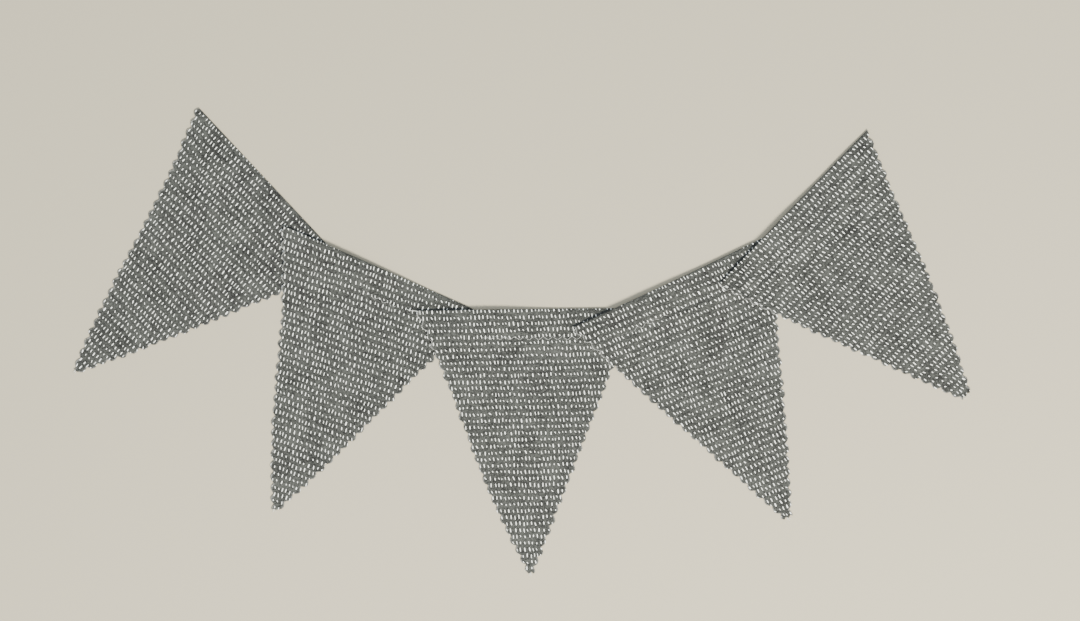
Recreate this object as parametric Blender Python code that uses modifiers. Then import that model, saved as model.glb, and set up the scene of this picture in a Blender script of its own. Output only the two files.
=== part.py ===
"""Fabric bunting: five pinked cotton pennants laid out in an arc.

Each pennant is one piece of cloth. Its top is folded to the back as a hem, its two sides were cut
with pinking shears through both layers, and its left corner lies over the right corner of the
pennant before it. Everything rests on z = 0. +X runs along the arc and the tips point to -Y.
"""

import math
from collections import namedtuple

import bmesh
import bpy
from mathutils import Vector

MM = 0.001

# Cloth
CLOTH = 1.0 * MM            # thickness of one layer
LAYER_GAP = 0.3 * MM        # between the two layers of a hem
REST_GAP = 0.5 * MM         # between a corner and the pennant below it
HEM_DEPTH = 14.0 * MM       # from the fold to the raw edge at the back
EDGE_CLEARANCE = 2.0 * MM   # cloth stays up this far past an edge that it crosses
RAMP = 11.0 * MM            # run over which it then comes down

# Pinked sides
TOOTH_PITCH = 5.0 * MM
TOOTH_DEPTH = 1.5 * MM
MIN_STEP = 0.6 * MM         # shortest edge left beside a corner or a fold

# The fold: the middle of the cloth turns on this radius, and its outside lies on the hem line
LIFT = CLOTH + LAYER_GAP
FOLD_RADIUS = LIFT / 2
FOLD_EDGE = FOLD_RADIUS + CLOTH / 2
BACK = -math.pi / 2
FRONT = math.pi / 2
FOLD_TURNS = [math.radians(angle) for angle in (-60, -30, 0, 30, 60)]

# Rows of the sheet, measured down from the fold, and the places of its points across the width
HEM_LEVELS = [FOLD_EDGE, 4.5 * MM, 8.0 * MM, 11.0 * MM, HEM_DEPTH]
RAMP_LEVELS = [HEM_DEPTH + EDGE_CLEARANCE + RAMP * part for part in (0.0, 0.25, 0.5, 0.75, 1.0)]
UPPER_LEVELS = [31.0 * MM, 36.0 * MM, 43.0 * MM]
LOWER_LEVELS = [54.0 * MM, 67.0 * MM, 81.0 * MM, 95.0 * MM, 107.0 * MM]
FINE = (0.0, 0.04, 0.09, 0.14, 0.19, 0.24, 0.29, 0.34, 0.40, 0.48, 0.60, 0.72, 0.84, 0.96, 1.0)
COARSE = (0.0, 0.09, 0.34, 0.60, 0.84, 1.0)

# One row for each pennant, left to right, in millimetres and degrees. x and y are the middle of the
# fold, turn is the fold's angle, and shift moves the tip along the fold.
Pennant = namedtuple("Pennant", "name x y turn width drop shift tip hem left right")
# An edge is bent outwards by bow at its middle, and by sway out and then in. tooth is its first peak
# after the corner. A hem's fold is bowed too, and its two ends stand off the surface where the fold
# wasn't pressed flat.
Hem = namedtuple("Hem", "bow left_rise right_rise")
Edge = namedtuple("Edge", "bow sway tooth")
PENNANTS = (
    Pennant("pennant_1", -112.9, 69.6, -46.8, 98.5, 122.0, -0.7, 1.9,
            Hem(0.0, 0.0, 0.0), Edge(-0.6, -0.8, 2.5), Edge(0.4, -0.4, 4.0)),
    Pennant("pennant_2", -63.4, 32.5, -23.8, 98.3, 119.2, -0.8, 1.9,
            Hem(0.0, 0.0, 0.0), Edge(-0.1, -1.2, 3.9), Edge(0.0, -0.6, 1.1)),
    Pennant("pennant_3", 1.3, 14.4, 0.6, 98.6, 119.1, 1.1, 1.6,
            Hem(0.0, 0.0, 0.0), Edge(1.3, -1.1, 2.9), Edge(-0.1, 0.0, 3.3)),
    Pennant("pennant_4", 67.3, 27.4, 25.2, 98.8, 119.1, 1.7, 3.1,
            Hem(-0.5, 0.5, 1.0), Edge(0.5, 0.2, 3.5), Edge(0.0, -0.5, 2.6)),
    Pennant("pennant_5", 121.7, 60.2, 46.0, 96.2, 115.3, -6.5, 4.7,
            Hem(0.2, 0.5, 0.8), Edge(0.7, 0.3, 3.2), Edge(1.7, -0.4, 1.1)),
)
MIDDLE_X = -0.60            # of the whole outline, in the table's own axes
MIDDLE_Y = 0.17
LEFT = -1
RIGHT = 1

PRINTED_COTTON = (0.19, 0.195, 0.18, 1.0)

Side = namedtuple("Side", "corner along outward length bow sway tooth")
Row = namedtuple("Row", "places verts left right")


def smooth(part):
    """A soft step from 0 to 1."""
    part = min(max(part, 0.0), 1.0)
    return part * part * (3.0 - 2.0 * part)


def pennant_side(pennant, hand):
    """One side of a pennant as a chord from the hem's corner to the tip, and how it bends."""
    corner = Vector((hand * pennant.width / 2, 0.0)) * MM
    end = Vector((pennant.shift + hand * pennant.tip / 2, pennant.drop)) * MM
    along = (end - corner).normalized()
    outward = Vector((hand * along.y, -hand * along.x))
    edge = pennant.left if hand == LEFT else pennant.right
    bends = (edge.bow * MM, edge.sway * MM, edge.tooth * MM)
    return Side(corner, along, outward, (end - corner).length, *bends)


def bend(side, part):
    """How far a side stands out from its chord, at a part of its length."""
    return side.bow * 4.0 * part * (1.0 - part) + side.sway * math.sin(2.0 * math.pi * part)


def side_point(side, distance, tooth=0.0):
    """A point on a side, and a tooth's height away from its middle line."""
    offset = bend(side, distance / side.length) + tooth
    return side.corner + side.along * distance + side.outward * offset


def pinked_side(side):
    """The cut edge from the corner on the hem line to the tip, a peak or a notch at each point."""
    half_depth = TOOTH_DEPTH / 2
    half_pitch = TOOTH_PITCH / 2
    first = side.tooth % TOOTH_PITCH
    phase = abs((first / half_pitch) % 2.0 - 1.0)
    corner = side_point(side, 0.0, (2.0 * phase - 1.0) * half_depth)
    corner.y = 0.0
    points = [corner]
    step = -1 if first > half_pitch else 0
    distance = first + step * half_pitch
    while distance < side.length - MIN_STEP:
        if distance > MIN_STEP:
            height = half_depth if step % 2 == 0 else -half_depth
            points.append(side_point(side, distance, height))
        step += 1
        distance = first + step * half_pitch
    points.append(side_point(side, side.length))
    return points


def across_edge(points, y):
    """The point where a cut edge passes a distance below the fold."""
    for upper, lower in zip(points, points[1:]):
        if upper.y <= y <= lower.y:
            return upper.lerp(lower, (y - upper.y) / (lower.y - upper.y))
    return points[-1].copy()


def round_the_fold(points):
    """A cut edge from the raw edge at the back, round the fold and down the front."""
    start = across_edge(points, FOLD_EDGE)
    below = [point for point in points if point.y > FOLD_EDGE + MIN_STEP]
    hem = [point for point in below if point.y < HEM_DEPTH - MIN_STEP]
    back = [across_edge(points, HEM_DEPTH)] + hem[::-1] + [start]
    fold = [(across_edge(points, fold_level(turn)), turn) for turn in FOLD_TURNS]
    return [(point, BACK) for point in back] + fold + [(point, FRONT) for point in [start] + below]


def fold_level(turn):
    """How far below the fold's outside the cloth is at one turn of it."""
    return FOLD_EDGE - FOLD_RADIUS * math.cos(turn)


def sheet_rows():
    """Each row's level, its turn round the fold and the places of its points across the width."""
    back = [(level, BACK, FINE) for level in reversed(HEM_LEVELS)]
    fold = [(fold_level(turn), turn, FINE) for turn in FOLD_TURNS]
    fine = [(level, FRONT, FINE) for level in HEM_LEVELS + RAMP_LEVELS + UPPER_LEVELS]
    coarse = [(level, FRONT, COARSE) for level in LOWER_LEVELS]
    return back + fold + fine + coarse


def fold_middle(pennant):
    """The middle of a pennant's fold, measured from the middle of the whole outline."""
    return Vector((pennant.x - MIDDLE_X, pennant.y - MIDDLE_Y)) * MM


def to_world(pennant, point):
    """A pennant's own point, x along the fold and y down from it, on the surface."""
    turn = math.radians(pennant.turn)
    share = 2.0 * point.x / (pennant.width * MM)
    bow = pennant.hem.bow * MM * (1.0 - share * share) * (1.0 - point.y / (pennant.drop * MM))
    y = point.y - bow
    x_world = point.x * math.cos(turn) + y * math.sin(turn)
    y_world = point.x * math.sin(turn) - y * math.cos(turn)
    return fold_middle(pennant) + Vector((x_world, y_world))


def to_pennant(pennant, world):
    """The reverse of to_world, without the small bow of the hem."""
    turn = math.radians(pennant.turn)
    away = world - fold_middle(pennant)
    x = away.x * math.cos(turn) + away.y * math.sin(turn)
    y = away.x * math.sin(turn) - away.y * math.cos(turn)
    return Vector((x, y))


def past_the_hem(y):
    """A part that falls from 1 over the hem to 0 where the cloth lies on the surface."""
    return 1.0 - smooth((y - HEM_DEPTH - EDGE_CLEARANCE) / RAMP)


def fold_rise(pennant, point):
    """How far a fold that wasn't pressed flat holds the whole hem off the surface."""
    share = min(max(point.x / (pennant.width * MM) + 0.5, 0.0), 1.0)
    rise = pennant.hem.left_rise + (pennant.hem.right_rise - pennant.hem.left_rise) * share
    return rise * MM * (1.0 - smooth(point.y / (HEM_DEPTH + EDGE_CLEARANCE + RAMP)))


def beyond_side(side, point):
    """The distance of a point outside a side, negative inside the pennant."""
    away = point - side.corner
    part = min(max(away.dot(side.along) / side.length, 0.0), 1.0)
    return away.dot(side.outward) - bend(side, part)


def support(below, world):
    """The height of what carries the cloth: the pennant below, or the surface."""
    if below is None:
        return 0.0
    point = to_pennant(below, world)
    top = CLOTH + LIFT * past_the_hem(point.y) + fold_rise(below, point) + REST_GAP
    outside = max(-point.y,
                  beyond_side(pennant_side(below, LEFT), point),
                  beyond_side(pennant_side(below, RIGHT), point))
    return top * (1.0 - smooth((outside - TOOTH_DEPTH / 2 - EDGE_CLEARANCE) / RAMP))


def add_point(sheet, pennant, below, point, turn):
    """One point of the middle of the cloth."""
    world = to_world(pennant, point)
    layer = LIFT * past_the_hem(point.y) * (1.0 + math.sin(turn)) / 2
    height = CLOTH / 2 + layer + fold_rise(pennant, point) + support(below, world)
    return sheet.verts.new((world.x, world.y, height))


def add_border(sheet, pennant, below, hand):
    """The points along one pinked side, and for each its level and turn."""
    side = pennant_side(pennant, hand)
    route = round_the_fold(pinked_side(side))
    verts = [add_point(sheet, pennant, below, point, turn) for point, turn in route]
    return verts, [(point.y, turn) for point, turn in route]


def nearest(levels, level, turn):
    """The border point at the end of a row."""
    same_turn = [index for index, place in enumerate(levels) if place[1] == turn]
    return min(same_turn, key=lambda index: abs(levels[index][0] - level))


def add_row(sheet, pennant, below, level, turn, places, borders):
    """A row of points from one side of the sheet to the other."""
    ends = []
    for hand in (LEFT, RIGHT):
        side = pennant_side(pennant, hand)
        ends.append(side_point(side, level / side.along.y))
    left = nearest(borders[LEFT][1], level, turn)
    right = nearest(borders[RIGHT][1], level, turn)
    verts = {}
    for place in places[1:-1]:
        point = Vector((ends[0].x + (ends[1].x - ends[0].x) * place, level))
        verts[place] = add_point(sheet, pennant, below, point, turn)
    verts[0.0] = borders[LEFT][0][left]
    verts[1.0] = borders[RIGHT][0][right]
    return Row(places, verts, left, right)


def add_strip(sheet, upper, lower, borders):
    """The cells between two rows, whose outer cells take in the teeth between them."""
    places = min(upper.places, lower.places, key=len)
    for start, end in zip(places, places[1:]):
        cell = [upper.verts[place] for place in upper.places if start <= place <= end]
        if end == 1.0:
            cell += borders[RIGHT][0][upper.right + 1:lower.right]
        cell += [lower.verts[place] for place in reversed(lower.places) if start <= place <= end]
        if start == 0.0:
            cell += borders[LEFT][0][upper.left + 1:lower.left][::-1]
        sheet.faces.new(list(dict.fromkeys(cell)))


def add_tip(sheet, last, borders):
    """The cell below the last row, down to the blunt tip."""
    cell = [last.verts[place] for place in last.places]
    cell += borders[RIGHT][0][last.right + 1:]
    cell += borders[LEFT][0][last.left + 1:][::-1]
    sheet.faces.new(cell)


def cloth_sheet(pennant, below):
    """The middle surface of a pennant: the hem at the back, the fold, and the front to the tip."""
    sheet = bmesh.new()
    borders = {hand: add_border(sheet, pennant, below, hand) for hand in (LEFT, RIGHT)}
    rows = [add_row(sheet, pennant, below, level, turn, places, borders)
            for level, turn, places in sheet_rows()]
    for upper, lower in zip(rows, rows[1:]):
        add_strip(sheet, upper, lower, borders)
    add_tip(sheet, rows[-1], borders)
    bmesh.ops.triangulate(sheet, faces=sheet.faces[:])
    bmesh.ops.recalc_face_normals(sheet, faces=sheet.faces[:])
    mesh = bpy.data.meshes.new(pennant.name)
    sheet.to_mesh(mesh)
    sheet.free()
    return mesh


def cotton_material(name):
    """Grey cotton, matt all over."""
    material = bpy.data.materials.new(name)
    material.use_nodes = True
    shader = material.node_tree.nodes["Principled BSDF"]
    shader.inputs["Base Color"].default_value = PRINTED_COTTON
    shader.inputs["Roughness"].default_value = 0.9
    shader.inputs["Metallic"].default_value = 0.0
    return material


def add_pennant(collection, pennant, below):
    """One pennant as a solid sheet of cloth."""
    mesh = cloth_sheet(pennant, below)
    mesh.materials.append(cotton_material(pennant.name))
    piece = bpy.data.objects.new(pennant.name, mesh)
    collection.objects.link(piece)
    solid = piece.modifiers.new("cloth", "SOLIDIFY")
    solid.thickness = CLOTH
    solid.offset = 0.0
    solid.use_even_offset = False
    return piece


def main():
    for item in list(bpy.data.objects):
        bpy.data.objects.remove(item, do_unlink=True)
    bunting = bpy.data.collections.new("fabric_bunting")
    bpy.context.scene.collection.children.link(bunting)
    below = None
    for pennant in PENNANTS:
        add_pennant(bunting, pennant, below)
        below = pennant


main()
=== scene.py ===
# %% [markdown]
# Fabric bunting.
# Five triangles of printed cotton lie in an arc on a pale surface. A maker cuts each one with
# pinking shears, folds its top to the back, sews the hem down with a zigzag and lays the next
# one's corner on it. This script goes much the same way: cut, fold, lay, print, sew, fray, light.
# The solids from the frame give the place and the folds, and the cloth here is as thin as cotton.

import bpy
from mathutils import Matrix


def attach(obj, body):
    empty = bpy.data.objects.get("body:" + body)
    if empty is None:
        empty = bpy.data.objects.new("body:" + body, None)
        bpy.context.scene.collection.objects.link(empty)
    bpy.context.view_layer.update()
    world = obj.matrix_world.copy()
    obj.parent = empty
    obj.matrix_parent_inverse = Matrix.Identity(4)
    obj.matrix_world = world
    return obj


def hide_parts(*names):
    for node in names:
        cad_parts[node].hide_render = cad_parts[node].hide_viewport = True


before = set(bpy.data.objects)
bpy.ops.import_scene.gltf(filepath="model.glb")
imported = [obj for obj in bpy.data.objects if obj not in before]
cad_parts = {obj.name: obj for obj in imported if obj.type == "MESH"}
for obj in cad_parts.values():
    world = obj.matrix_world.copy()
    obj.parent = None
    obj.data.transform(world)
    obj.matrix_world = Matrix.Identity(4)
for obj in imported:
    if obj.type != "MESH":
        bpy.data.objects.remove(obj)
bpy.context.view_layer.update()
print("nodes:", ", ".join(sorted(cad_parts)))

# %% Tools and helpers
import math
import random
from collections import namedtuple

import bmesh
import bpy
import numpy as np
from mathutils import Matrix, Vector

MM = 0.001


def pick(piece):
    """Selects one piece and nothing else, as a click on it would."""
    bpy.ops.object.select_all(action="DESELECT")
    piece.select_set(True)
    bpy.context.view_layer.objects.active = piece


def smooth(part):
    """A soft step from 0 to 1."""
    part = np.clip(part, 0.0, 1.0)
    return part * part * (3.0 - 2.0 * part)


print("units: 1 mm is", MM, "m")

# %% [markdown]
# The cutting table.
# On the real bunting no two pennants are quite alike. A maker would measure each one with a ruler,
# so each is a row here: where the middle of its fold lies, how far it is turned, its width, its
# drop and the small bows of its three edges, in millimetres and degrees. A table like this is
# easier to correct against the photo than five meshes that were pushed about by hand.

# %% The five pennants
Pennant = namedtuple("Pennant", "name x y turn width drop shift tip hem left right")
Hem = namedtuple("Hem", "bow left_rise right_rise")
Edge = namedtuple("Edge", "bow sway tooth")
PENNANTS = (
    Pennant("pennant_1", -112.9, 69.6, -46.8, 98.5, 122.0, -0.7, 1.9,
            Hem(0.0, 0.0, 0.0), Edge(-0.6, -0.8, 2.5), Edge(0.4, -0.4, 4.0)),
    Pennant("pennant_2", -63.4, 32.5, -23.8, 98.3, 119.2, -0.8, 1.9,
            Hem(0.0, 0.0, 0.0), Edge(-0.1, -1.2, 3.9), Edge(0.0, -0.6, 1.1)),
    Pennant("pennant_3", 1.3, 14.4, 0.6, 98.6, 119.1, 1.1, 1.6,
            Hem(0.0, 0.0, 0.0), Edge(1.3, -1.1, 2.9), Edge(-0.1, 0.0, 3.3)),
    Pennant("pennant_4", 67.3, 27.4, 25.2, 98.8, 119.1, 1.7, 3.1,
            Hem(-0.5, 0.5, 1.0), Edge(0.5, 0.2, 3.5), Edge(0.0, -0.5, 2.6)),
    Pennant("pennant_5", 121.7, 60.2, 46.0, 96.2, 115.3, -6.5, 4.7,
            Hem(0.2, 0.5, 0.8), Edge(0.7, 0.3, 3.2), Edge(1.7, -0.4, 1.1)),
)
MIDDLE_X = -0.60            # the middle of the whole outline, in the table's millimetres
MIDDLE_Y = 0.17
LEFT = -1
RIGHT = 1
print("pennants in the table:", len(PENNANTS))

# %% Cloth and hem sizes
CLOTH = 0.28 * MM           # thickness of the cotton
HEM_LIFTS = {               # millimetres from the back layer of a hem to its front layer
    "pennant_1": 0.30, "pennant_2": 0.30, "pennant_3": 0.50, "pennant_4": 0.65, "pennant_5": 0.65}
CORNER_LOFT = 0.10 * MM     # air under a corner that lies on the pennant before it
FOLD_LOFTS = {              # millimetres of air where a fold crosses that of the pennant named here
    "pennant_1": 0.8, "pennant_2": 0.35, "pennant_3": 0.12, "pennant_4": 0.12}
CROSSING_REACH = 9.0 * MM   # and how far from that crossing the cloth touches again
HEM_DEPTH = 14.0 * MM
SEAM = 12.9 * MM            # the zigzag's line below the fold
HEM_RAMP = 7.5 * MM         # past the raw edge the front comes down over this run
DRAPE_START = 1.6 * MM      # past an edge that it crosses, cloth stays up this far
DRAPE_RUN = 8.0 * MM        # and then comes down over this run
STIFF_RUN = 24.0 * MM       # or over this one at a fold, where the hem is stiff
STIFF_DEPTH = 20.0 * MM     # below the fold, where the cloth is soft again
RISE_RUN = 27.0 * MM        # a fold that wasn't pressed flat is down again at this depth
RISE_SHARE = 0.25           # thin cloth stands up by this share of what the thicker solid needs
FOLD_RADIUS = 0.22 * MM
FOLD_EDGE = FOLD_RADIUS + CLOTH / 2
print("height of each hem, mm:", [round(lift + CLOTH / MM, 2) for lift in HEM_LIFTS.values()])

# %% [markdown]
# The pinked sides.
# Pinking shears leave a row of small teeth so that the cotton doesn't unravel. Each tooth is a soft
# lobe, and the notch between two teeth is sharp. One could subdivide an edge and move every second
# point, but a formula for the height of the cut at each distance along the side gives round lobes,
# and lets each tooth differ a little, as real ones do.

# %% How the shears cut
TOOTH_PITCH = 5.0 * MM
TOOTH_DEPTH = 1.6 * MM
TOOTH_SPREAD = 0.2          # a tooth's depth varies by this part
LOBE_MEAN = 0.45            # of the depth that lies inside the edge's middle line
MAX_TEETH = 40
DRIFT_HEIGHT = 0.25 * MM    # the teeth drift along the side by this much
DRIFT_LENGTH = 4.1 * MM
EDGE_ROUNDS = 8             # a point on the edge is found in this many steps
Side = namedtuple("Side", "corner along outward length bow sway tooth depths drift")


def pennant_side(pennant, hand):
    """One side as a chord from the hem's corner to the tip, and how it bends."""
    corner = Vector((hand * pennant.width / 2, 0.0)) * MM
    end = Vector((pennant.shift + hand * pennant.tip / 2, pennant.drop)) * MM
    along = (end - corner).normalized()
    outward = Vector((hand * along.y, -hand * along.x))
    edge = pennant.left if hand == LEFT else pennant.right
    draw = random.Random(f"{pennant.name} side {hand}")
    depths = np.array([draw.uniform(1 - TOOTH_SPREAD, 1 + TOOTH_SPREAD) for _ in range(MAX_TEETH)])
    drift = draw.uniform(0.0, 2.0 * math.pi)
    return Side(corner, along, outward, (end - corner).length, edge.bow * MM, edge.sway * MM,
                edge.tooth * MM, depths * TOOTH_DEPTH, drift)


SIDES = {(p.name, hand): pennant_side(p, hand) for p in PENNANTS for hand in (LEFT, RIGHT)}


def bend(side, distance):
    """How far a side stands out from its chord."""
    part = np.clip(distance / side.length, 0.0, 1.0)
    return side.bow * 4.0 * part * (1.0 - part) + side.sway * np.sin(2.0 * np.pi * part)


def teeth(side, distance):
    """The height of the pinked cut, round at a tooth and sharp at a notch."""
    wander = DRIFT_HEIGHT * np.sin(distance / DRIFT_LENGTH + side.drift)
    turn = (distance + wander - side.tooth) / TOOTH_PITCH
    index = np.round(turn)
    lobe = np.cos(np.pi * (turn - index))
    depth = side.depths[np.mod(index, MAX_TEETH).astype(int)]
    return depth * lobe - LOBE_MEAN * TOOTH_DEPTH


def cut_edge(pennant, hand, y):
    """Where a side passes each distance y below the fold."""
    side = SIDES[pennant.name, hand]
    distance = y / side.along.y
    for _ in range(EDGE_ROUNDS):
        offset = bend(side, distance) + teeth(side, distance)
        distance = (y - side.outward.y * offset) / side.along.y
    return side.corner.x + side.along.x * distance + side.outward.x * offset


first = SIDES["pennant_1", LEFT]
print("teeth on a side:", int(first.length / TOOTH_PITCH))

# %% [markdown]
# Where the cloth lies.
# The front layer of a hem rests on the layer folded behind it, and each left corner rests on the
# pennant before it, so the cloth is nowhere quite flat. The height of every point comes from a few
# soft steps: over the hem, over the corner below, and up where a fold wasn't pressed. A cloth
# simulation would give the same slopes for far more work, and could slide the pieces apart.

# %% From a pennant's own place to the surface


def fold_middle(pennant):
    """The middle of a pennant's fold, measured from the middle of the whole outline."""
    return Vector((pennant.x - MIDDLE_X, pennant.y - MIDDLE_Y)) * MM


def to_world(pennant, x, y):
    """Points given along the fold and down from it, on the surface."""
    turn = math.radians(pennant.turn)
    share = 2.0 * x / (pennant.width * MM)
    y = y - pennant.hem.bow * MM * (1.0 - share * share) * (1.0 - y / (pennant.drop * MM))
    middle = fold_middle(pennant)
    across = middle.x + x * math.cos(turn) + y * math.sin(turn)
    up = middle.y + x * math.sin(turn) - y * math.cos(turn)
    return across, up


def to_pennant(pennant, across, up):
    """The reverse of to_world, without the small bow of the fold."""
    turn = math.radians(pennant.turn)
    middle = fold_middle(pennant)
    across = across - middle.x
    up = up - middle.y
    x = across * math.cos(turn) + up * math.sin(turn)
    y = across * math.sin(turn) - up * math.cos(turn)
    return x, y


print("middle of the third fold, mm:", [round(value / MM, 2) for value in fold_middle(PENNANTS[2])])

# %% How high the cloth lies
RIPPLES = 4
RIPPLE_HEIGHT = 0.06 * MM
SHORT_RIPPLE = 24.0 * MM
LONG_RIPPLE = 62.0 * MM
CURL_HEIGHT = 0.07 * MM
CURL_REACH = 4.5 * MM
CURL_LENGTH = 9.0 * MM
SEAM_DIP = 0.55             # the zigzag pulls the two layers of the hem this far together
SEAM_REACH = 1.9 * MM
PRESSED_SHARE = 0.40        # near its cut sides a hem is pressed flatter, to this share
PRESSED_REACH = 14.0 * MM
LEAST_LIFT = 0.30 * MM      # where the two layers touch


def inside_sides(pennant, x, y):
    """The distance of points from the nearer cut side."""
    return np.minimum(x - cut_edge(pennant, LEFT, y), cut_edge(pennant, RIGHT, y) - x)


def hem_lift(pennant, x, y):
    """The front layer's height over the back one, less at the seam and the cut sides."""
    dip = 1.0 - SEAM_DIP * np.exp(-(((y - SEAM) / SEAM_REACH) ** 2))
    inside = smooth(inside_sides(pennant, x, y) / PRESSED_REACH)
    pressed = PRESSED_SHARE + (1.0 - PRESSED_SHARE) * inside
    lift = np.maximum(HEM_LIFTS[pennant.name] * MM * dip * pressed, LEAST_LIFT)
    return lift * (1.0 - smooth((y - HEM_DEPTH) / HEM_RAMP))


def fold_rise(pennant, x, y):
    """How far a fold that wasn't pressed flat holds the hem off the surface."""
    share = np.clip(x / (pennant.width * MM) + 0.5, 0.0, 1.0)
    rise = pennant.hem.left_rise + (pennant.hem.right_rise - pennant.hem.left_rise) * share
    return RISE_SHARE * rise * MM * (1.0 - smooth(y / RISE_RUN))


def beyond_side(side, x, y):
    """The distance of points outside a side, negative inside the pennant."""
    away_x = x - side.corner.x
    distance = away_x * side.along.x + y * side.along.y
    return away_x * side.outward.x + y * side.outward.y - bend(side, distance)


def ripple(pennant, x, y):
    """A slight unevenness that pressed cotton keeps."""
    draw = random.Random(f"{pennant.name} ripple")
    total = 0.0 * x
    for _ in range(RIPPLES):
        heading = draw.uniform(0.0, math.pi)
        pitch = draw.uniform(SHORT_RIPPLE, LONG_RIPPLE) / (2.0 * math.pi)
        phase = draw.uniform(0.0, 2.0 * math.pi)
        total = total + np.sin((x * math.cos(heading) + y * math.sin(heading)) / pitch + phase)
    return RIPPLE_HEIGHT * (1.0 + total / RIPPLES)


def edge_curl(pennant, x, y):
    """Cut edges lift a little off the surface, some stretches more than others."""
    inside = inside_sides(pennant, x, y)
    waves = 0.5 + 0.5 * np.sin(y / CURL_LENGTH + SIDES[pennant.name, LEFT].drift + np.sign(x))
    return CURL_HEIGHT * waves * smooth(1.0 - inside / CURL_REACH)


def support(below, across, up, depth):
    """The height of what carries the cloth, a pennant or the surface, at a depth below its fold."""
    if below is None:
        return 0.0 * across
    x, y = to_pennant(below, across, up)
    top = CLOTH + hem_lift(below, x, y) + fold_rise(below, x, y)
    top = top + ripple(below, x, y) + edge_curl(below, x, y)
    outside = np.maximum(-y, np.maximum(beyond_side(SIDES[below.name, LEFT], x, y),
                                        beyond_side(SIDES[below.name, RIGHT], x, y)))
    at_crossing = smooth(1.0 + outside / CROSSING_REACH) * (1.0 - smooth(depth / SEAM))
    loft = CORNER_LOFT + (FOLD_LOFTS[below.name] * MM - CORNER_LOFT) * at_crossing
    run = STIFF_RUN + (DRAPE_RUN - STIFF_RUN) * smooth(depth / STIFF_DEPTH)
    return (top + loft) * (1.0 - smooth((outside - DRAPE_START) / run))


def cloth_height(pennant, below, x, y, turn):
    """The middle of the cloth: across, up and high. Turn is -90 degrees behind and 90 in front."""
    across, up = to_world(pennant, x, y)
    layer = hem_lift(pennant, x, y) * (1.0 + np.sin(turn)) / 2
    rest = support(below, across, up, y) + fold_rise(pennant, x, y)
    uneven = ripple(pennant, x, y) + edge_curl(pennant, x, y)
    return across, up, CLOTH / 2 + layer + rest + uneven


print("air at the folds of the upper corners, mm:", list(FOLD_LOFTS.values()))

# %% [markdown]
# The cloth.
# A pennant is one flat cut of cotton. Here it starts as a flat grid, whose rows run along the fold
# and whose columns run from the raw edge of the hem to the tip. The grid is cut to the pinked
# sides, marked with its place on the bolt (the UV map), folded round the hem line and laid down.
# The thickness comes last, from a Solidify modifier, so both layers of the hem stay one cloth.

# %% Rows and columns of the grid
ROW_STEP = 0.55 * MM
FOLD_ROWS = 8
COLUMNS = 72
EDGE_STEPS = (0.0, 0.3 * MM, 0.75 * MM, 1.4 * MM)   # the first columns at each cut edge
NARROW = 9.0 * MM           # below this width the steps at the edges shrink
ARC = math.pi * FOLD_RADIUS
LEAST_WIDTH = 0.9 * MM      # a row at the tip is never narrower
TIP_REACH = 1.6 * MM        # the tip is pinked too, over its last stretch
TIP_ZIGZAG = 0.35 * MM
TIP_PITCH = 2.2 * MM
BOLT = 640.0 * MM           # one unit of the UV map
BOLT_STEP = 121.0 * MM      # from one cut to the next across the bolt
ROWS_A_CUT = 13             # and this many rows of the print down it
ROW_PITCH = 2.92            # millimetres, as all sizes in the print
Grain = namedtuple("Grain", "tilt first_row")
GRAINS = (                  # degrees off the fold, and where the first row lies below it
    Grain(-2.1, 2.6), Grain(-3.2, 1.2), Grain(-0.6, 0.5), Grain(2.9, 0.7), Grain(0.8, 1.1))


def row_levels(pennant):
    """Lengths along the cloth, 0 at the fold, from the raw edge at the back to the tip."""
    back = HEM_DEPTH - FOLD_EDGE
    front = pennant.drop * MM - FOLD_EDGE
    behind = -ARC / 2 - np.linspace(back, 0.0, int(back / ROW_STEP) + 1)
    fold = np.linspace(-ARC / 2, ARC / 2, FOLD_ROWS + 1)[1:-1]
    before = ARC / 2 + np.linspace(0.0, front, int(front / ROW_STEP) + 1)
    return np.concatenate([behind, fold, before])


def from_fold(length):
    """The depth below the fold and the turn round it, for a length along the cloth."""
    turn = np.clip(length / FOLD_RADIUS, -math.pi / 2, math.pi / 2)
    past = np.maximum(np.abs(length) - ARC / 2, 0.0)
    return FOLD_EDGE - FOLD_RADIUS * np.cos(turn) + past, turn


def column_place(column, left, right):
    """Where a column crosses a row: a few fixed steps at each cut edge, and even ones between."""
    width = right - left
    shrink = np.clip(width / NARROW, 0.0, 1.0)
    steps = np.array(EDGE_STEPS)
    count = len(steps)
    last = steps[-1]
    inner = (column - count + 1) / (COLUMNS - 2 * (count - 1))
    near = steps[np.clip(column, 0, count - 1)] * shrink
    far = width - steps[np.clip(COLUMNS - column, 0, count - 1)] * shrink
    even = last * shrink + (width - 2 * last * shrink) * inner
    place = np.where(column < count, near, np.where(column > COLUMNS - count, far, even))
    return left + place


print("columns across a pennant:", COLUMNS)

# %% Cut a pennant


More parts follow.
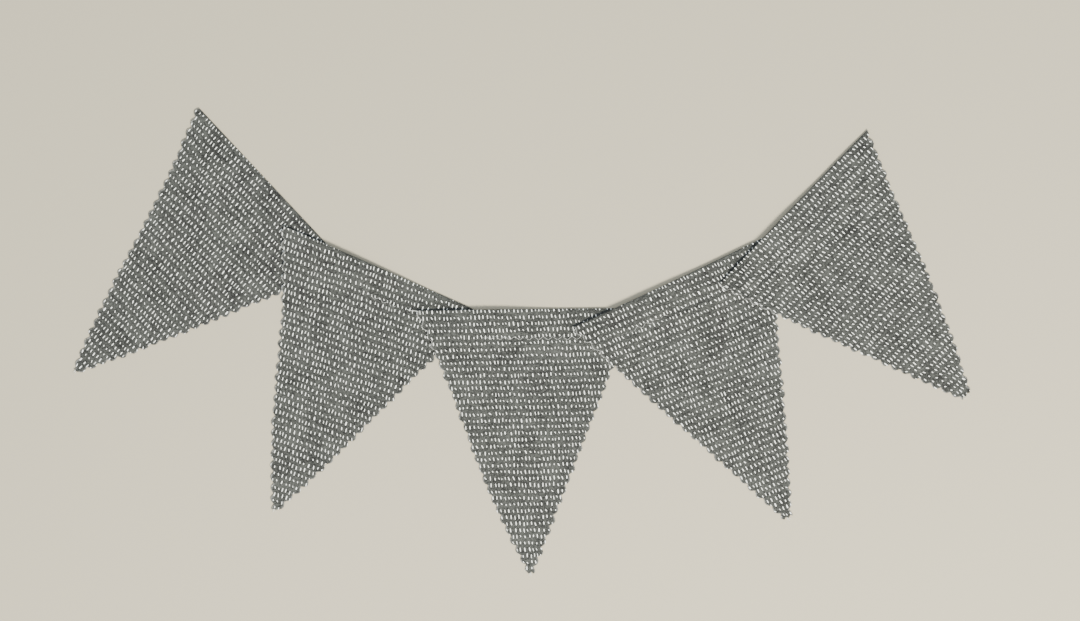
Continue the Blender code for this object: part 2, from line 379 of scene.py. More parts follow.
def cut_flat(pennant, order):
    """A flat grid cut to the pinked sides, with its place on the bolt as its UV map."""
    levels = row_levels(pennant)
    rows = len(levels) - 1
    bpy.ops.object.select_all(action="DESELECT")
    bpy.ops.mesh.primitive_grid_add(x_subdivisions=COLUMNS, y_subdivisions=rows, size=1.0)
    piece = bpy.context.object
    piece.name = piece.data.name = f"cloth_{order + 1}"
    points = np.empty(len(piece.data.vertices) * 3)
    piece.data.vertices.foreach_get("co", points)
    points = points.reshape(-1, 3)
    column = np.round((points[:, 0] + 0.5) * COLUMNS).astype(int)
    length = levels[np.round((0.5 - points[:, 1]) * rows).astype(int)]
    y, _ = from_fold(length)
    left = cut_edge(pennant, LEFT, y)
    right = cut_edge(pennant, RIGHT, y)
    short = np.maximum(LEAST_WIDTH - (right - left), 0.0) / 2
    x = column_place(column, left - short, right + short)
    at_tip = smooth(1.0 - (pennant.drop * MM - y) / TIP_REACH)
    length = length + at_tip * TIP_ZIGZAG * np.cos(2.0 * np.pi * x / TIP_PITCH)
    flat = np.stack([x, -length, 0.0 * x], axis=1)
    piece.data.vertices.foreach_set("co", flat.ravel())
    piece.data.update()
    mark_bolt(piece, order, x, length)
    mark_raw_edge(piece, x - (left - short), (right + short) - x, length - levels[0])
    return piece


def mark_bolt(piece, order, x, length):
    """Each pennant is cut from its own place on one bolt, a little askew to the print's rows."""
    tilt = math.radians(GRAINS[order].tilt)
    rows = (ROWS_A_CUT * (order + 1) + 0.5) * ROW_PITCH - GRAINS[order].first_row
    across = (x * math.cos(tilt) + length * math.sin(tilt) + (order + 0.5) * BOLT_STEP) / BOLT
    down = (length * math.cos(tilt) - x * math.sin(tilt) + rows * MM) / BOLT
    corners = np.empty(len(piece.data.loops), dtype=int)
    piece.data.loops.foreach_get("vertex_index", corners)
    uv = np.stack([across[corners], down[corners]], axis=1)
    piece.data.uv_layers[0].name = "bolt"
    piece.data.uv_layers["bolt"].data.foreach_set("uv", uv.ravel())


def mark_raw_edge(piece, from_left, from_right, from_hem):
    """How near each point is to a cut edge, for the paler yarn ends there."""
    inside = np.minimum(np.minimum(from_left, from_right), from_hem)
    near = np.clip(1.0 - inside / EDGE_STEPS[2], 0.0, 1.0)
    layer = piece.data.attributes.new("raw_edge", "FLOAT", "POINT")
    layer.data.foreach_set("value", near)


cloths = [cut_flat(pennant, order) for order, pennant in enumerate(PENNANTS)]

# %% Fold the hem to the back and lay the cloth down


def lay(piece, pennant, below):
    """Moves every point of the flat cut to where the cloth lies."""
    points = np.empty(len(piece.data.vertices) * 3)
    piece.data.vertices.foreach_get("co", points)
    points = points.reshape(-1, 3)
    y, turn = from_fold(-points[:, 1])
    across, up, height = cloth_height(pennant, below, points[:, 0], y, turn)
    piece.data.vertices.foreach_set("co", np.stack([across, up, height], axis=1).ravel())
    piece.data.update()


belows = (None,) + PENNANTS[:-1]
for piece, pennant, below in zip(cloths, PENNANTS, belows):
    lay(piece, pennant, below)
tops = [max(vertex.co.z for vertex in piece.data.vertices) for piece in cloths]
print("highest point of each, mm:", [round(top / MM, 2) for top in tops])

# %% [markdown]
# The printed cotton.
# The marks on this cloth are a print: rows of short pale dashes on a grey ground with soft darker
# clouds. Some dashes stand upright and others lean, and neighbours in a row are much alike. A mesh
# for each dash would raise it off the cloth, so a material draws them from the UV map. It numbers
# the rows and the dashes with a floor, gives each dash a random length and lean that it partly
# shares with its neighbours, and measures the distance from its middle.

# %% A small kit for wiring nodes


def wire(tree, value, socket):
    """Links a socket, or sets a plain value."""
    if isinstance(value, bpy.types.NodeSocket):
        tree.links.new(value, socket)
    else:
        socket.default_value = value


def calc(tree, operation, *values):
    """One Math node."""
    node = tree.nodes.new("ShaderNodeMath")
    node.operation = operation
    for value, socket in zip(values, node.inputs):
        wire(tree, value, socket)
    return node.outputs[0]


def point(tree, x, y, z=0.0):
    """Three values as one vector."""
    node = tree.nodes.new("ShaderNodeCombineXYZ")
    for value, socket in zip((x, y, z), node.inputs):
        wire(tree, value, socket)
    return node.outputs[0]


def cloud(tree, vector, scale, detail=2.0):
    """Noise from 0 to 1."""
    node = tree.nodes.new("ShaderNodeTexNoise")
    node.noise_dimensions = "3D"
    wire(tree, vector, node.inputs["Vector"])
    node.inputs["Scale"].default_value = scale
    node.inputs["Detail"].default_value = detail
    return node.outputs[0]


def dice(tree, vector):
    """Three random numbers for each whole-numbered place."""
    node = tree.nodes.new("ShaderNodeTexWhiteNoise")
    node.noise_dimensions = "3D"
    wire(tree, vector, node.inputs["Vector"])
    split = tree.nodes.new("ShaderNodeSeparateXYZ")
    tree.links.new(node.outputs["Color"], split.inputs[0])
    return list(split.outputs)


def spread(tree, value, low, high, old_low=0.0, old_high=1.0, soft=False):
    """Stretches a range of values onto another."""
    node = tree.nodes.new("ShaderNodeMapRange")
    node.interpolation_type = "SMOOTHSTEP" if soft else "LINEAR"
    for name, part in zip(("Value", "From Min", "From Max", "To Min", "To Max"),
                          (value, old_low, old_high, low, high)):
        wire(tree, part, node.inputs[name])
    return node.outputs[0]


def blend(tree, share, first, second):
    """A mix of two colours."""
    node = tree.nodes.new("ShaderNodeMix")
    node.data_type = "RGBA"
    wire(tree, share, node.inputs[0])
    wire(tree, first, node.inputs[6])
    wire(tree, second, node.inputs[7])
    return node.outputs[2]


def new_material(name):
    """An empty material with one Principled shader."""
    material = bpy.data.materials.new(name)
    material.use_nodes = True
    return material, material.node_tree, material.node_tree.nodes["Principled BSDF"]


print("node kit ready")

# %% The print
DASH_PITCH = 1.84           # millimetres, as the next two pairs
DASH_HALF_WIDTH = (0.16, 0.23)
DASH_HALF_LENGTH = (0.38, 0.90)
DASH_LEAN = (0.0, 0.60)     # sideways for each part down, before long dashes stand up
LEAN_LIMIT = 1.25           # a dash leans by this less its share of the full length
DASH_SHIFT = (0.16, 0.28)   # a dash is printed up to this far off its place, sideways and down
DASH_STRENGTH = (0.86, 1.0)
CORNER_POWER = 2.6          # 2 gives an oval dash, and more squares its ends
ROW_WANDER = 0.20           # in rows
DASH_WANDER = 1.1           # in dashes
RIM_REACH = 2.1             # the dye is denser round a dash, out to this many half sizes
RIM_SHARE = 0.78
INK_ROUGHNESS = 0.22
RUN_SHARE = 0.62            # a dash's length and lean come from its run by this part


def bolt_place(tree):
    """Millimetres across the bolt and down it."""
    uv = tree.nodes.new("ShaderNodeUVMap")
    uv.uv_map = "bolt"
    split = tree.nodes.new("ShaderNodeSeparateXYZ")
    tree.links.new(uv.outputs[0], split.inputs[0])
    across = calc(tree, "MULTIPLY", split.outputs[0], BOLT / MM)
    down = calc(tree, "MULTIPLY", split.outputs[1], BOLT / MM)
    return across, down


def dash_rows(tree, across, down):
    """The number of each row, and how far below its middle a point is."""
    wander = cloud(tree, point(tree, across, down), 0.035, 1.0)
    wander = spread(tree, wander, -ROW_WANDER, ROW_WANDER)
    rows = calc(tree, "ADD", calc(tree, "DIVIDE", down, ROW_PITCH), wander)
    number = calc(tree, "FLOOR", rows)
    part = calc(tree, "SUBTRACT", calc(tree, "FRACT", rows), 0.5)
    return number, calc(tree, "MULTIPLY", part, ROW_PITCH)


def dash_columns(tree, across, number):
    """The number of each dash in its row, and how far right of its middle a point is."""
    start = dice(tree, point(tree, number, 0.5, 0.5))[0]
    uneven = cloud(tree, point(tree, across, calc(tree, "MULTIPLY", number, 7.0)), 0.11, 1.0)
    uneven = spread(tree, uneven, -DASH_WANDER, DASH_WANDER)
    places = calc(tree, "ADD", calc(tree, "DIVIDE", across, DASH_PITCH), start)
    places = calc(tree, "ADD", places, uneven)
    part = calc(tree, "SUBTRACT", calc(tree, "FRACT", places), 0.5)
    return calc(tree, "FLOOR", places), calc(tree, "MULTIPLY", part, DASH_PITCH)


def in_runs(tree, value, dash, number, depth):
    """A random value from 0 to 1 that neighbours in a row share for the most part."""
    place = point(tree, calc(tree, "MULTIPLY", dash, 0.5), number, depth)
    run = cloud(tree, place, 0.9, 1.0)
    own = calc(tree, "MULTIPLY", value, 1.0 - RUN_SHARE)
    mixed = calc(tree, "ADD", own, spread(tree, run, 0.0, RUN_SHARE, 0.35, 0.65))
    return spread(tree, mixed, 0.0, 1.0, 0.24, 0.76)


def half_sizes(tree, distance, half_size):
    """A distance from a dash's middle as a share of its half size, raised for a rounded corner."""
    share = calc(tree, "DIVIDE", calc(tree, "ABSOLUTE", distance), half_size)
    return calc(tree, "POWER", share, CORNER_POWER)


def ink(tree, across, down):
    """1 where a dash is printed and 0 on the bare ground, and how strong the dye is round it."""
    number, below = dash_rows(tree, across, down)
    dash, right = dash_columns(tree, across, number)
    longer, lower, leaning = dice(tree, point(tree, dash, number, 3.5))
    longer = in_runs(tree, longer, dash, number, 6.0)
    leaning = in_runs(tree, leaning, dash, number, 21.0)
    aside, stronger, wider = dice(tree, point(tree, dash, number, 9.5))
    shift_aside, shift_down = DASH_SHIFT
    below = calc(tree, "ADD", below, spread(tree, lower, -shift_down, shift_down))
    limit = calc(tree, "SUBTRACT", LEAN_LIMIT, longer)
    lean = calc(tree, "MULTIPLY", spread(tree, leaning, *DASH_LEAN), limit)
    right = calc(tree, "ADD", right, spread(tree, aside, -shift_aside, shift_aside))
    right = calc(tree, "SUBTRACT", right, calc(tree, "MULTIPLY", below, lean))
    rough = cloud(tree, point(tree, across, down, 4.0), 1.3)
    rough = spread(tree, rough, -INK_ROUGHNESS, INK_ROUGHNESS)
    side = half_sizes(tree, right, spread(tree, wider, *DASH_HALF_WIDTH))
    end = half_sizes(tree, below, spread(tree, longer, *DASH_HALF_LENGTH))
    away = calc(tree, "POWER", calc(tree, "ADD", side, end), 1 / CORNER_POWER)
    away = calc(tree, "ADD", away, rough)
    shape = spread(tree, away, 1.0, 0.0, 0.92, 1.08, soft=True)
    rim = spread(tree, away, RIM_SHARE, 0.0, 1.1, RIM_REACH, soft=True)
    return calc(tree, "MULTIPLY", shape, spread(tree, stronger, *DASH_STRENGTH)), rim


print("a row every", ROW_PITCH, "mm, a dash every", DASH_PITCH, "mm")

# %% The woven ground
GROUND_DARK = (0.008, 0.008, 0.007, 1.0)
GROUND_LIGHT = (0.071, 0.0735, 0.065, 1.0)
INK_COLOUR = (0.98, 0.98, 0.90, 1.0)
Cloud = namedtuple("Cloud", "across down depth scale detail weight")
CLOUDS = (
    Cloud(1.0, 1.0, 1.0, 0.085, 3.0, 0.9),      # soft clouds in the dye
    Cloud(0.5, 1.0, 7.0, 0.40, 2.0, 0.8),       # streaks along the weft
    Cloud(0.3, 1.0, 2.0, 1.6, 2.0, 0.6),        # single weft yarns
    Cloud(1.0, 0.3, 5.0, 1.6, 2.0, 0.5),        # single warp yarns
    Cloud(1.0, 1.0, 3.0, 1.8, 1.0, 2.0),        # flecks
)
GROUND_CONTRAST = 0.50      # smaller is stronger
YARN_END = (0.62, 0.61, 0.57, 1.0)
YARN_PITCH = 0.42           # millimetres


def ground(tree, across, down):
    """Grey cotton: soft clouds in the dye, slubs along both sets of yarns, and flecks."""
    total = 0.0
    for part in CLOUDS:
        place = point(tree, calc(tree, "MULTIPLY", across, part.across),
                      calc(tree, "MULTIPLY", down, part.down), part.depth)
        weighed = calc(tree, "MULTIPLY", cloud(tree, place, part.scale, part.detail), part.weight)
        total = calc(tree, "ADD", total, weighed)
    middle = sum(part.weight for part in CLOUDS) / 2
    share = spread(tree, total, 0.0, 1.0, middle - GROUND_CONTRAST, middle + GROUND_CONTRAST)
    return blend(tree, share, GROUND_DARK, GROUND_LIGHT)


def weave(tree, across, down):
    """The over and under of a plain weave, from 0 to 1."""
    turns = math.pi / YARN_PITCH
    weft = calc(tree, "SINE", calc(tree, "MULTIPLY", down, turns))
    warp = calc(tree, "SINE", calc(tree, "MULTIPLY", across, turns))
    return spread(tree, calc(tree, "MULTIPLY", weft, warp), 0.0, 1.0, -1.0, 1.0)


def near_cut(tree):
    """The raw_edge mark of the mesh: 1 at a cut edge and 0 inside."""
    mark = tree.nodes.new("ShaderNodeAttribute")
    mark.attribute_name = "raw_edge"
    return mark.outputs["Fac"]


def cotton(name, print_share, edge_share):
    """Cotton on which a share of the print shows, with a share of pale yarn at its cut edges."""
    material, tree, shader = new_material(name)
    across, down = bolt_place(tree)
    colour = ground(tree, across, down)
    dashes, rim = ink(tree, across, down)
    colour = blend(tree, calc(tree, "MULTIPLY", rim, print_share), colour, GROUND_DARK)
    colour = blend(tree, calc(tree, "MULTIPLY", dashes, print_share), colour, INK_COLOUR)
    loose = cloud(tree, point(tree, across, down, 8.0), 0.9, 2.0)
    loose = spread(tree, loose, 0.0, edge_share, 0.35, 0.65)
    colour = blend(tree, calc(tree, "MULTIPLY", near_cut(tree), loose), colour, YARN_END)
    bumps = weave(tree, across, down)
    # Painted shade and highlight: the colour is made a little darker in the hollows of the weave
    # and a little lighter on its crossings, beside the real bump below.
    shade = spread(tree, bumps, 0.90, 1.06)
    weave_shaded_colour = tree.nodes.new("ShaderNodeVectorMath")
    weave_shaded_colour.operation = "SCALE"
    tree.links.new(colour, weave_shaded_colour.inputs[0])
    tree.links.new(shade, weave_shaded_colour.inputs["Scale"])
    tree.links.new(weave_shaded_colour.outputs[0], shader.inputs["Base Color"])
    bump = tree.nodes.new("ShaderNodeBump")
    bump.inputs["Strength"].default_value = 0.35
    bump.inputs["Distance"].default_value = 0.08 * MM
    tree.links.new(bumps, bump.inputs["Height"])
    tree.links.new(bump.outputs[0], shader.inputs["Normal"])
    shader.inputs["Roughness"].default_value = 0.88
    shader.inputs["Specular IOR Level"].default_value = 0.25
    shader.inputs["Sheen Weight"].default_value = 0.12
    shader.inputs["Sheen Roughness"].default_value = 0.5
    return material


right_side = cotton("printed_side", 1.0, 0.35)
wrong_side = cotton("wrong_side", 0.28, 0.35)
raw_edge = cotton("cut_edge", 0.3, 0.55)
print("materials:", right_side.name, wrong_side.name, raw_edge.name)

# %% Thickness and finish


def thicken(piece):
    """Gives the cut its thickness: printed side, wrong side and cut edge."""
    for material in (right_side, wrong_side, raw_edge):
        piece.data.materials.append(material)
    pick(piece)
    solid = piece.modifiers.new("thickness", "SOLIDIFY")
    solid.thickness = CLOTH
    solid.offset = 0.0
    solid.use_even_offset = False
    solid.material_offset = 1
    solid.material_offset_rim = 2
    bpy.ops.object.modifier_apply(modifier=solid.name)
    bpy.ops.object.shade_smooth_by_angle(angle=math.radians(50.0))


def front_faces_up(piece, pennant):
    """The printed side has to point up in front, which the face farthest from the fold shows."""
    middle = fold_middle(pennant)
    tip = max(piece.data.polygons, key=lambda face: (face.center.xy - middle).length)
    if tip.normal.z < 0:
        pick(piece)
        bpy.ops.object.mode_set(mode="EDIT")
        bpy.ops.mesh.select_all(action="SELECT")
        bpy.ops.mesh.flip_normals()
        bpy.ops.object.mode_set(mode="OBJECT")


for piece, pennant in zip(cloths, PENNANTS):
    front_faces_up(piece, pennant)
    thicken(piece)
    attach(piece, "root")
    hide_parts(pennant.name)
print("faces in a pennant:", len(cloths[0].data.polygons))

# %% [markdown]
# The zigzag.
# A machine's zigzag is one thread that runs slantwise from hole to hole and dips into the cloth at
# each one. One stitch is modelled from a thin cylinder whose ends are bent down, and then copied
# from hole to hole along the hem, on the printed side and on the back of the hem.

# %% Model one stitch
THREAD_RADIUS = 0.105 * MM
STITCH_STEP = 2.15 * MM     # along the hem, from one hole to the next
STITCH_HALF_WIDTH = 0.85 * MM
STITCH_ARCH = 0.15 * MM     # the thread's middle stands above the cloth
STITCH_DIP = 0.16 * MM      # and its ends go into it
STITCH_SINK = 0.26 * MM     # where the seam is tight, all of it does
SEAM_MARGIN = 0.3 * MM      # from the cut side to the first hole
SEAM_DRIFT = 0.35 * MM      # no seam is quite straight
SEAM_DRIFT_LENGTH = 17.0 * MM
HOLE_SPREAD = 0.1           # millimetres
BACK_INSET = 0.1 * MM       # on the back the thread is pulled into the cloth by this much
LOOSE_BLEND = 6.0           # millimetres over which a tight seam gets loose
LOOSE_STITCHES = {          # where along the fold, in millimetres, the thread lies on top
    "pennant_1": (60.0, 70.0), "pennant_2": (-4.0, 14.0), "pennant_3": (-20.0, 60.0),
    "pennant_4": (-28.0, -12.0), "pennant_5": (-27.0, -12.0)}


def model_stitch():
    """A thread of unit length along X whose two ends dip."""
    bpy.ops.object.select_all(action="DESELECT")
    bpy.ops.mesh.primitive_cylinder_add(vertices=6, radius=THREAD_RADIUS, depth=1.0,
                                        end_fill_type="TRIFAN", rotation=(0.0, math.pi / 2, 0.0))
    stitch = bpy.context.object
    stitch.name = stitch.data.name = "one_stitch"
    bpy.ops.object.transform_apply(location=False, rotation=True, scale=False)
    bpy.ops.object.mode_set(mode="EDIT")
    bpy.ops.mesh.select_all(action="DESELECT")
    bpy.ops.object.mode_set(mode="OBJECT")
    for edge in stitch.data.edges:
        ends = [stitch.data.vertices[index].co.x for index in edge.vertices]
        edge.select = abs(ends[0] - ends[1]) > 0.5
    bpy.ops.object.mode_set(mode="EDIT")
    bpy.ops.mesh.subdivide(number_cuts=5)
    bpy.ops.object.mode_set(mode="OBJECT")
    for vertex in stitch.data.vertices:
        arch = math.sin(math.pi * (vertex.co.x + 0.5)) ** 0.6 if abs(vertex.co.x) < 0.49 else 0.0
        vertex.co.z += (STITCH_ARCH + STITCH_DIP) * arch - STITCH_DIP
        vertex.co.x += 0.5
    bpy.ops.object.shade_smooth()
    return stitch


stitch = model_stitch()
print("faces in a stitch:", len(stitch.data.polygons))

# %% Copy it along each hem


def copies(model, name, places):
    """One mesh from a model and a list of places for its copies."""
    joined = bmesh.new()
    for place in places:
        copy = model.data.copy()
        copy.transform(place)
        joined.from_mesh(copy)
        bpy.data.meshes.remove(copy)
    mesh = bpy.data.meshes.new(name)
    joined.to_mesh(mesh)
    joined.free()
    piece = bpy.data.objects.new(name, mesh)
    bpy.context.scene.collection.objects.link(piece)
    return piece


def cloth_point(pennant, below, x, y, turn, above):
    """A point on the cloth, a little above its middle or, with a negative value, below it."""
    values = cloth_height(pennant, below, np.array([x]), np.array([y]), np.array([turn]))
    return Vector([float(value[0]) for value in values]) + Vector((0.0, 0.0, above))


def span(start, end, flip=1.0):
    """The place of a unit-long model that reaches from one point to another."""
    along = end - start
    side = Vector((0.0, 0.0, flip)).cross(along).normalized()
    up = along.cross(side).normalized()
    return Matrix((
        (along.x, side.x, up.x, start.x),
        (along.y, side.y, up.y, start.y),
        (along.z, side.z, up.z, start.z),
        (0.0, 0.0, 0.0, 1.0)))


def needle_holes(pennant):
    """The holes of the zigzag, from one side to the other."""
    draw = random.Random(f"{pennant.name} zigzag")
    left = float(cut_edge(pennant, LEFT, np.array([SEAM]))[0])
    right = float(cut_edge(pennant, RIGHT, np.array([SEAM]))[0])
    count = int((right - left) / STITCH_STEP)
    holes = []
    for index in range(count + 1):
        swing = STITCH_HALF_WIDTH if index % 2 else -STITCH_HALF_WIDTH
        x = left + SEAM_MARGIN + (right - left - 2 * SEAM_MARGIN) * index / count
        drift = SEAM_DRIFT * math.sin(x / SEAM_DRIFT_LENGTH + pennant.turn)
        x = x + draw.uniform(-HOLE_SPREAD, HOLE_SPREAD) * MM
        y = SEAM + swing + drift + draw.uniform(-HOLE_SPREAD, HOLE_SPREAD) * MM
        holes.append((x, y))
    return holes


def sunk(pennant, x):
    """How deep a tight stitch pulls into the cloth: 0 where the thread lies loose on top."""
    start, end = LOOSE_STITCHES[pennant.name]
    inside = smooth((x / MM - start) / LOOSE_BLEND) * smooth((end - x / MM) / LOOSE_BLEND)
    return STITCH_SINK * (1.0 - float(inside))


def sew(pennant, below):
    """The zigzag of one pennant, on both faces of its hem."""
    holes = needle_holes(pennant)
    places = []
    faces = ((math.pi / 2, CLOTH / 2, 1.0), (-math.pi / 2, BACK_INSET - CLOTH / 2, -1.0))
    for turn, above, flip in faces:
        points = [cloth_point(pennant, below, x, y, turn, above - flip * sunk(pennant, x))
                  for x, y in holes]
        places += [span(start, end, flip) for start, end in zip(points, points[1:])]
    return copies(stitch, pennant.name.replace("pennant", "hem_zigzag"), places)


zigzags = [sew(pennant, below) for pennant, below in zip(PENNANTS, belows)]
bpy.data.objects.remove(stitch)
print("faces in a zigzag:", len(zigzags[0].data.polygons))

# %% [markdown]
# Loose yarns.
# Pinking slows fraying and doesn't stop it: short pale yarn ends stand out of the teeth, and they
# show most where a corner lies on the darker cloth below. A yarn end is a thin tapered cone. One is
# modelled and copied to seeded random places along both sides, each turned and stretched its own
# way, and a broken row of them follows the left cut where it lies on the pennant below.

# %% Fray the cut sides
YARN_RADIUS = 0.06 * MM
FRAYS_A_SIDE = 60
FRAY_LENGTHS = (0.25 * MM, 0.75 * MM)
FRAY_SPREAD = 1.1           # radians either way from straight out
CORNER_SHARE = 0.35         # of the yarn ends crowd towards the hem's corner
CORNER_PART = 0.3           # which is this part of the side
YARN_ROOT = 0.25 * MM       # a yarn end starts this far inside the cut
TIP_FRAYS = 7
LOOSE_START = 0.5 * MM      # below the fold, a yarn has come loose along the left cut
LOOSE_END = 32.0 * MM       # as far as the pennant below
LOOSE_STEP = 0.6 * MM
LOOSE_SHARE = 0.78          # of its steps show


def model_yarn_end():
    """A thin cone of unit length along X, bent a little."""
    bpy.ops.object.select_all(action="DESELECT")
    bpy.ops.mesh.primitive_cone_add(vertices=4, radius1=YARN_RADIUS, radius2=YARN_RADIUS * 0.35,
                                    depth=1.0, rotation=(0.0, math.pi / 2, 0.0))
    yarn = bpy.context.object
    yarn.name = yarn.data.name = "one_yarn_end"
    bpy.ops.object.transform_apply(location=False, rotation=True, scale=False)
    bpy.ops.object.mode_set(mode="EDIT")
    bpy.ops.mesh.select_all(action="SELECT")
    bpy.ops.mesh.bisect(plane_co=(0.0, 0.0, 0.0), plane_no=(1.0, 0.0, 0.0))
    bpy.ops.object.mode_set(mode="OBJECT")
    for vertex in yarn.data.vertices:
        vertex.co.x += 0.5
        vertex.co.z += 0.12 * MM * math.sin(math.pi * min(vertex.co.x, 1.0))
    bpy.ops.object.shade_smooth()
    return yarn


def yarn_place(pennant, below, hand, y, draw):
    """Where one yarn end stands out of a side."""
    side = SIDES[pennant.name, hand]
    x = float(cut_edge(pennant, hand, np.array([y]))[0]) - hand * YARN_ROOT
    start = cloth_point(pennant, below, x, y, math.pi / 2, draw.uniform(-0.3, 0.5) * CLOTH)
    angle = draw.uniform(-FRAY_SPREAD, FRAY_SPREAD)
    reach = draw.uniform(*FRAY_LENGTHS)
    out = side.outward * math.cos(angle) + side.along * math.sin(angle)
    across, up = to_world(pennant, x + out.x * reach, y + out.y * reach)
    end = Vector((across, up, max(start.z + draw.uniform(-0.15, 0.2) * MM, 0.12 * MM)))
    return span(start, end)


def loose_yarn_places(pennant, below, draw):
    """A broken line of yarn that follows the teeth of the left cut."""
    if below is None:
        return []
    depths = np.arange(LOOSE_START, LOOSE_END, LOOSE_STEP)
    sides = cut_edge(pennant, LEFT, depths)
    points = [cloth_point(pennant, below, x, y, math.pi / 2, 0.4 * CLOTH)
              for x, y in zip(sides, depths)]
    steps = zip(points, points[1:])
    return [span(start, end) for start, end in steps if draw.random() < LOOSE_SHARE]


def fray(pennant, below):
    """The yarn ends of one pennant."""
    draw = random.Random(f"{pennant.name} fray")
    places = loose_yarn_places(pennant, below, draw)
    for hand in (LEFT, RIGHT):
        for index in range(FRAYS_A_SIDE):
            share = draw.random()
            if index < FRAYS_A_SIDE * CORNER_SHARE:
                share = share * CORNER_PART
            y = 0.6 * MM + share * (pennant.drop - 1.2) * MM
            places.append(yarn_place(pennant, below, hand, y, draw))
    for _ in range(TIP_FRAYS):
        x = (pennant.shift + draw.uniform(-0.4, 0.4) * pennant.tip) * MM
        start = cloth_point(pennant, below, x, (pennant.drop - 0.3) * MM, math.pi / 2, 0.0)
        x = x + draw.uniform(-0.5, 0.5) * MM
        across, up = to_world(pennant, x, (pennant.drop + draw.uniform(0.6, 2.0)) * MM)
        places.append(span(start, Vector((across, up, 0.2 * MM))))
    return copies(yarn_end, pennant.name.replace("pennant", "frayed_edge"), places)


yarn_end = model_yarn_end()
frays = [fray(pennant, below) for pennant, below in zip(PENNANTS, belows)]
bpy.data.objects.remove(yarn_end)
print("faces in a frayed edge:", len(frays[0].data.polygons))

# %% Thread and yarn materials
THREAD_COLOUR = (0.37, 0.37, 0.34, 1.0)
YARN_COLOUR = (0.76, 0.76, 0.70, 1.0)


def twisted(name, colour, pitch):
    """Cotton thread: one colour, broken up a little along its length."""
    material, tree, shader = new_material(name)
    place = tree.nodes.new("ShaderNodeTexCoord").outputs["Object"]
    uneven = cloud(tree, place, 1.0 / pitch, 2.0)
    dark = tuple(part * 0.75 for part in colour[:3]) + (1.0,)
    tree.links.new(blend(tree, uneven, dark, colour), shader.inputs["Base Color"])
    shader.inputs["Roughness"].default_value = 0.7
    shader.inputs["Sheen Weight"].default_value = 0.15
    shader.inputs["Sheen Roughness"].default_value = 0.4
    return material


thread = twisted("sewing_thread", THREAD_COLOUR, 0.6 * MM)
loose_yarn = twisted("loose_yarn", YARN_COLOUR, 0.8 * MM)
for piece in zigzags:
    piece.data.materials.append(thread)
    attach(piece, "root")
for piece in frays:
    piece.data.materials.append(loose_yarn)
    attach(piece, "root")
print("thread pieces:", len(zigzags) + len(frays))

# %% [markdown]
# Thread tails.
# At three of the upper corners the end of a thread was left uncut. A thread is a small round
# section swept along a line, so each tail is a curve with a bevel, made a mesh at the end.

# %% Three thread tails
Tail = namedtuple("Tail", "name pennant points")
TAILS = (                   # each point: along the fold, down from it and above the cloth below
    Tail("thread_tail_3", 2,
         ((-48.6, 0.6, 0.6), (-50.3, 0.1, 0.9), (-52.2, 0.3, 0.6), (-53.6, -0.5, 0.5))),
    Tail("thread_tail_4", 3,
         ((-48.4, 1.0, 0.5), (-49.8, 1.6, 0.9), (-50.4, 2.7, 0.6), (-49.6, 3.5, 0.4))),
    Tail("thread_tail_5", 4,
         ((-47.6, 0.9, 0.5), (-48.4, 2.2, 0.8), (-46.4, 2.6, 0.9), (-46.6, 4.2, 0.7))),
)
TAIL_RADIUS = 0.10 * MM


def add_tail(tail):
    """One loose thread end, as a curve with a round section that becomes a mesh."""
    pennant, below = PENNANTS[tail.pennant], belows[tail.pennant]
    line = bpy.data.curves.new(tail.name, "CURVE")
    line.dimensions = "3D"
    line.bevel_depth = TAIL_RADIUS
    line.bevel_resolution = 1
    line.use_fill_caps = True
    spline = line.splines.new("NURBS")
    spline.points.add(len(tail.points) - 1)
    for node, (x, y, above) in zip(spline.points, tail.points):
        across, up = to_world(pennant, x * MM, y * MM)
        base = float(support(below, np.array([across]), np.array([up]), y * MM)[0])
        node.co = (across, up, base + above * MM, 1.0)
    spline.use_endpoint_u = True
    spline.order_u = 3
    piece = bpy.data.objects.new(tail.name, line)
    bpy.context.scene.collection.objects.link(piece)
    pick(piece)
    bpy.ops.object.convert(target="MESH")
    piece = bpy.context.object
    piece.data.materials.append(loose_yarn)
    bpy.ops.object.shade_smooth()
    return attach(piece, "root")


tails = {tail.pennant: add_tail(tail) for tail in TAILS}
print("thread tails:", ", ".join(piece.name for piece in tails.values()))

# %% [markdown]
# The surface, the light and the camera.
# The bunting was photographed from straight above, in soft light that came from the lower right, so
# each raised edge has a narrow shadow on its upper left. A large lamp at some distance gives such a
# shadow with a soft border, and a pale world fills it in.

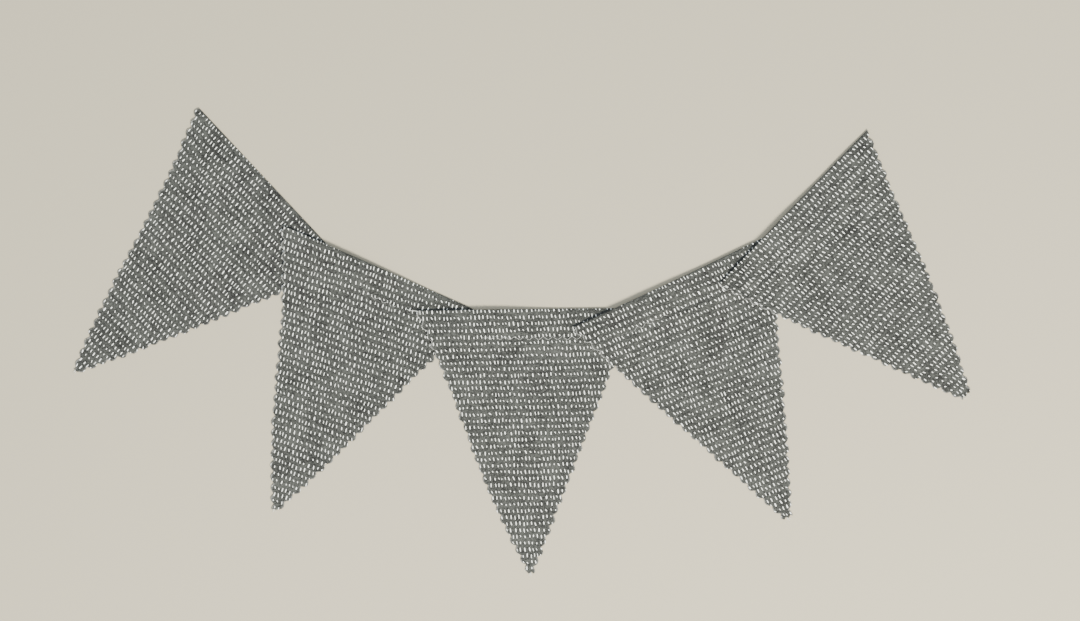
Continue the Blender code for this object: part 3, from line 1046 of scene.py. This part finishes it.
# %% Floor
FLOOR_COLOUR = (0.425, 0.376, 0.270, 1.0)
FLOOR_SIZE = 6.0
FLOOR_DROP = 0.05 * MM      # just below the lowest cloth, so the two never share a plane
bpy.ops.object.select_all(action="DESELECT")
bpy.ops.mesh.primitive_plane_add(size=FLOOR_SIZE, location=(0.0, 0.0, -FLOOR_DROP))
floor = bpy.context.object
floor.name = floor.data.name = "floor"
floor_material, _, floor_shader = new_material("pale_floor")
floor_shader.inputs["Base Color"].default_value = FLOOR_COLOUR
floor_shader.inputs["Roughness"].default_value = 0.85
floor.data.materials.append(floor_material)
print("floor ready")

# %% How many cloths there are
print("sheets:", len(cloths))

# %% Light
KEY_HEADING = math.radians(-66.0)
KEY_HEIGHT = math.radians(40.0)
KEY_DISTANCE = 1.6
KEY_SIZE = 0.5
KEY_POWER = 87.0
KEY_COLOUR = (1.0, 0.97, 0.885)
WORLD_COLOUR = (0.81, 0.90, 1.0, 1.0)
WORLD_STRENGTH = 1.22


def add_key():
    """The lamp at the lower right."""
    towards = Vector((math.cos(KEY_HEIGHT) * math.cos(KEY_HEADING),
                      math.cos(KEY_HEIGHT) * math.sin(KEY_HEADING), math.sin(KEY_HEIGHT)))
    turned = towards.to_track_quat("Z", "Y").to_euler()
    bpy.ops.object.light_add(type="AREA", location=towards * KEY_DISTANCE, rotation=turned)
    key = bpy.context.object
    key.name = "key_light"
    key.data.shape = "DISK"
    key.data.size = KEY_SIZE
    key.data.energy = KEY_POWER
    key.data.color = KEY_COLOUR
    return key


key = add_key()
world = bpy.data.worlds.new("soft_studio")
world.use_nodes = True
world.node_tree.nodes["Background"].inputs["Color"].default_value = WORLD_COLOUR
world.node_tree.nodes["Background"].inputs["Strength"].default_value = WORLD_STRENGTH
bpy.context.scene.world = world
print("lamp at", [round(value, 2) for value in key.location])

# %% Camera
CAMERA_HEIGHT = 1.5
SENSOR = 36.0
FRAME_WIDTH = 488.2 * MM    # what the photo's width takes in
FRAME_MIDDLE = (8.27 * MM, 13.62 * MM)
bpy.ops.object.camera_add(location=(*FRAME_MIDDLE, CAMERA_HEIGHT), rotation=(0.0, 0.0, 0.0))
camera = bpy.context.object
camera.name = "camera"
camera.data.sensor_width = SENSOR
camera.data.lens = SENSOR * CAMERA_HEIGHT / FRAME_WIDTH
bpy.context.scene.camera = camera
print("lens:", round(camera.data.lens, 1), "mm")
